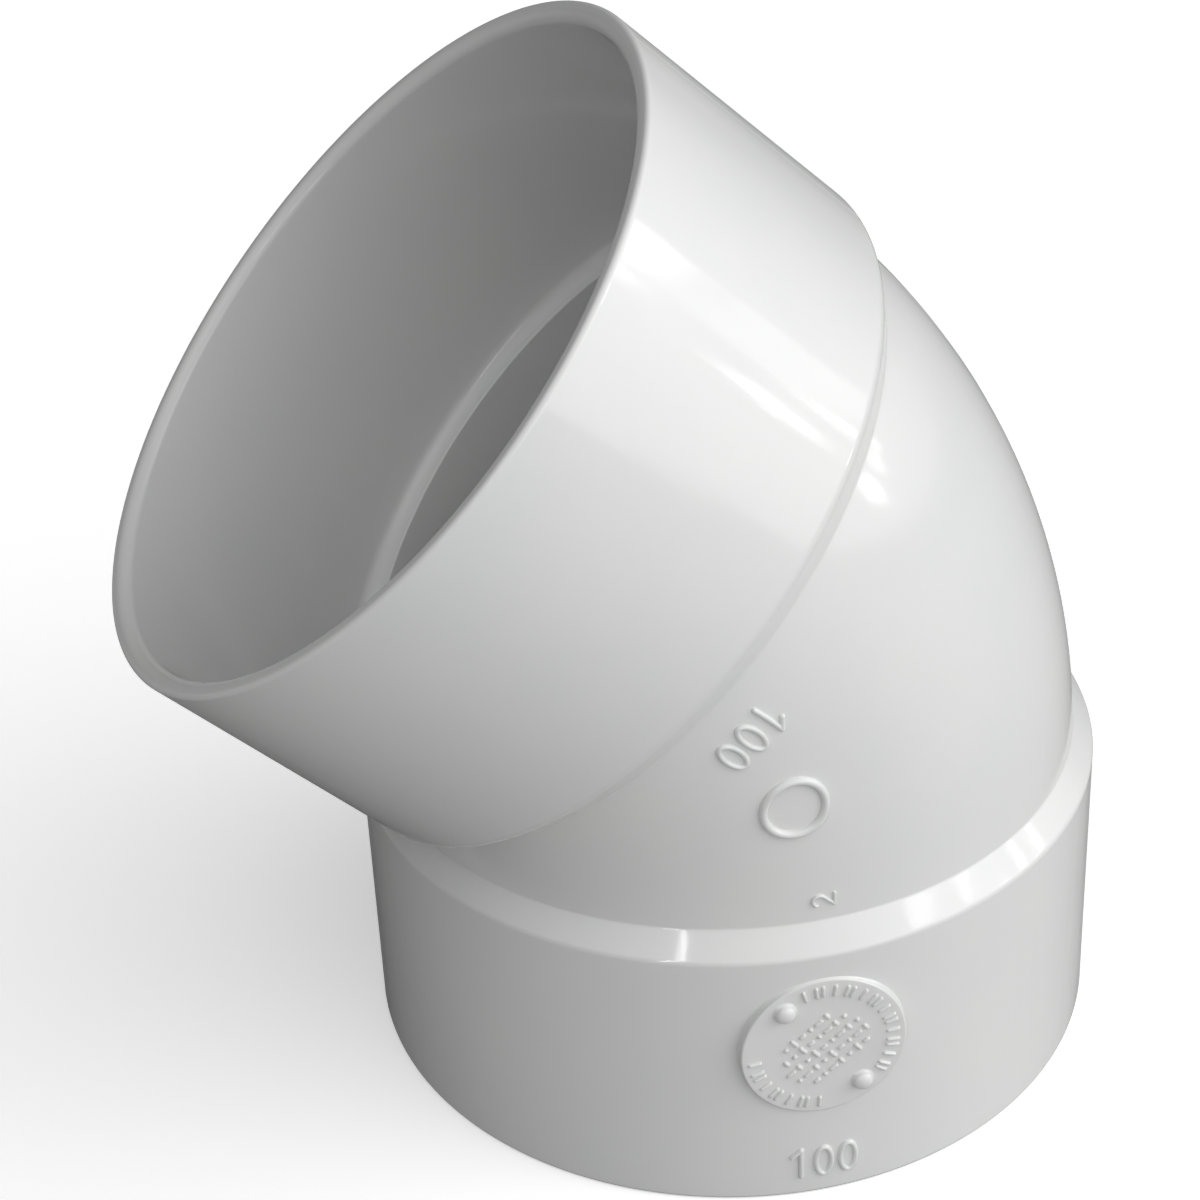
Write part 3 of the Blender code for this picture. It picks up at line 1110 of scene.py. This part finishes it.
@dataclass(frozen=True)
class PaleFloor:
    """A plain pale floor. It is seen as near white, and throws back less light than that."""

    side: float = 40.0
    seen: float = 0.95
    lift: float = 0.38
    bounce: float = 0.35
    name: str = "floor"

    def paint(self) -> bpy.types.Material:
        """Makes the floor's paint: a white that lights itself a little where it is looked at.

        Returns:
            The material.
        """
        material = bpy.data.materials.new("pale_paint")
        material.use_nodes = True
        tree = material.node_tree
        tree.nodes.clear()
        dull, white = (tree.nodes.new("ShaderNodeBsdfDiffuse") for _ in range(2))
        dull.inputs["Color"].default_value = (self.bounce, self.bounce, self.bounce, 1.0)
        white.inputs["Color"].default_value = (self.seen, self.seen, self.seen, 1.0)
        glow = tree.nodes.new("ShaderNodeEmission")
        glow.inputs["Strength"].default_value = self.lift
        both = tree.nodes.new("ShaderNodeAddShader")
        path = tree.nodes.new("ShaderNodeLightPath")
        mix = tree.nodes.new("ShaderNodeMixShader")
        output = tree.nodes.new("ShaderNodeOutputMaterial")
        tree.links.new(white.outputs[0], both.inputs[0])
        tree.links.new(glow.outputs[0], both.inputs[1])
        tree.links.new(path.outputs["Is Camera Ray"], mix.inputs[0])
        tree.links.new(dull.outputs[0], mix.inputs[1])
        tree.links.new(both.outputs[0], mix.inputs[2])
        tree.links.new(mix.outputs[0], output.inputs["Surface"])
        return material

    def build(self) -> bpy.types.Object:
        """Makes the floor, one wide square at height zero.

        Returns:
            The floor.
        """
        half = self.side / 2
        corners = np.array([[-half, -half, 0.0], [half, -half, 0.0], [half, half, 0.0], [-half, half, 0.0]])
        mesh = bpy.data.meshes.new(self.name)
        mesh.from_pydata(corners, [], [[0, 1, 2, 3]])
        mesh.materials.append(self.paint())
        floor = bpy.data.objects.new(self.name, mesh)
        bpy.context.scene.collection.objects.link(floor)
        return floor


@dataclass(frozen=True)
class Glow:
    """A soft patch of the studio's dome, brightest at its middle."""

    azimuth: float
    elevation: float
    strength: float


@dataclass(frozen=True)
class Studio:
    """A dome of a few soft glows, the panes of a window on the right, and a tall narrow lamp."""

    spread: float = 7.0
    ambient: float = 0.01
    glows: tuple[Glow, ...] = (
        Glow(72.0, 32.0, 2.3),
        Glow(30.0, 8.0, 1.75),
        Glow(-45.0, 58.0, 1.15),
        Glow(102.0, 8.0, 0.3),
    )
    panes: tuple[Pane, ...] = (
        Pane("sill_left", 74.5, 7.5, 4.5, 3.5, 8.0),
        Pane("sill_right", 81.0, 9.5, 3.0, 3.0, 3.5),
        Pane("low_left", 69.6, 15.0, 2.6, 2.4, 7.5),
        Pane("low_right", 77.0, 14.4, 2.4, 2.2, 4.0),
        Pane("low_far", 84.5, 12.0, 3.0, 4.0, 4.0),
        Pane("high_left", 71.5, 22.3, 4.5, 2.6, 6.0),
        Pane("high_right", 82.4, 22.6, 11.6, 3.0, 3.8),
        Pane("haze", 82.5, 17.5, 12.0, 4.5, 1.3),
        Pane("corner", 62.0, 23.5, 7.0, 4.0, 9.0),
        Pane("near", 47.5, 26.5, 12.0, 3.5, 3.0),
        Pane("tall_strip", -28.5, 21.0, 1.6, 36.0, 12.0, lean=-7.0),
    )

    def build(self, aim: Vector) -> None:
        """Makes the dome and the lamps.

        Args:
            aim: The point that the lamps face.
        """
        world = bpy.data.worlds.new("dome")
        world.use_nodes = True
        tree = world.node_tree
        direction = tree.nodes.new("ShaderNodeTexCoord").outputs["Generated"]
        light: bpy.types.NodeSocket | float = self.ambient
        for glow in self.glows:
            light = self._math(tree, "ADD", self._patch(tree, direction, glow), light)
        background = tree.nodes["Background"]
        tree.links.new(light, background.inputs["Strength"])
        background.inputs["Color"].default_value = (1.0, 1.0, 1.0, 1.0)
        bpy.context.scene.world = world
        for pane in self.panes:
            pane.build(aim)

    @staticmethod
    def _math(tree: bpy.types.NodeTree, operation: str,
              *values: bpy.types.NodeSocket | float) -> bpy.types.NodeSocket:
        """Works out one operation in the world's nodes.

        Args:
            tree: The world's nodes.
            operation: Which operation.
            values: What it works on, each a socket or a number.

        Returns:
            The result.
        """
        node = tree.nodes.new("ShaderNodeMath")
        node.operation = operation
        for place, value in enumerate(values):
            if isinstance(value, float):
                node.inputs[place].default_value = value
            else:
                tree.links.new(value, node.inputs[place])
        return node.outputs[0]

    def _patch(self, tree: bpy.types.NodeTree, direction: bpy.types.NodeSocket,
               glow: Glow) -> bpy.types.NodeSocket:
        """One glow: its strength times the exponential of spread times (cosine of the angle away - 1).

        Args:
            tree: The world's nodes.
            direction: The direction looked in.
            glow: The glow.

        Returns:
            The glow's strength in that direction.
        """
        cosine = tree.nodes.new("ShaderNodeVectorMath")
        cosine.operation = "DOT_PRODUCT"
        tree.links.new(direction, cosine.inputs[0])
        cosine.inputs[1].default_value = toward(glow.azimuth, glow.elevation)
        fall = self._math(tree, "MULTIPLY_ADD", cosine.outputs["Value"], self.spread, -self.spread)
        return self._math(tree, "MULTIPLY", self._math(tree, "EXPONENT", fall), glow.strength)


@dataclass(frozen=True)
class Viewpoint:
    """The camera's place on a sphere round its aim, with a slight roll."""

    aim: tuple[float, float, float] = (-1.56 * MM, 1.27 * MM, 72.25 * MM)
    azimuth: float = -10.66
    elevation: float = 33.54
    distance: float = 465.1 * MM
    roll: float = -2.81
    lens: float = 92.23
    sensor: float = 36.0

    def build(self) -> bpy.types.Object:
        """Makes the scene's camera.

        Returns:
            The camera's object.
        """
        away = toward(self.azimuth, self.elevation)
        camera = bpy.data.objects.new("camera", bpy.data.cameras.new("camera"))
        camera.data.sensor_width = self.sensor
        camera.data.lens = self.lens
        camera.location = Vector(self.aim) + away * self.distance
        camera.rotation_mode = "QUATERNION"
        camera.rotation_quaternion = facing(away, self.roll)
        bpy.context.scene.collection.objects.link(camera)
        bpy.context.scene.camera = camera
        return camera


# ---------------------------------------------------------------- everything in order


def main() -> None:
    """Builds the elbow's pieces, the marks, the studio and the camera, in that order."""
    logging.basicConfig(level=logging.INFO, format="%(name)s: %(message)s")
    form = ElbowForm.from_frame()
    upright = PvcFinish("upright_pvc").build()
    leaning = PvcFinish("leaning_pvc", lean=form.bend_angle).build()
    between = PvcFinish("bend_pvc", lean=form.bend_angle / 2).build()
    raised = PvcFinish("raised_pvc", gloss=(0.10, 0.20), ripple=0.0, drag=0.0).build()
    HubShell(form, form.lower_seat, "lower_hub").build(upright)
    HubShell(form, form.upper_seat, "upper_hub", SOFT_SHOULDER).build(leaning)
    BendShell(form).build(between)
    GateRing(BendPatch.over(form, "gate_ring", (0.0, 1.0))).build(raised)
    Roundel(form).build(upright, raised)
    MarkSet(form).build(raised)
    viewpoint = Viewpoint()
    PaleFloor().build()
    Studio().build(Vector(viewpoint.aim))
    viewpoint.build()
    bpy.context.scene.view_settings.view_transform = "Standard"


if __name__ == "__main__":
    main()
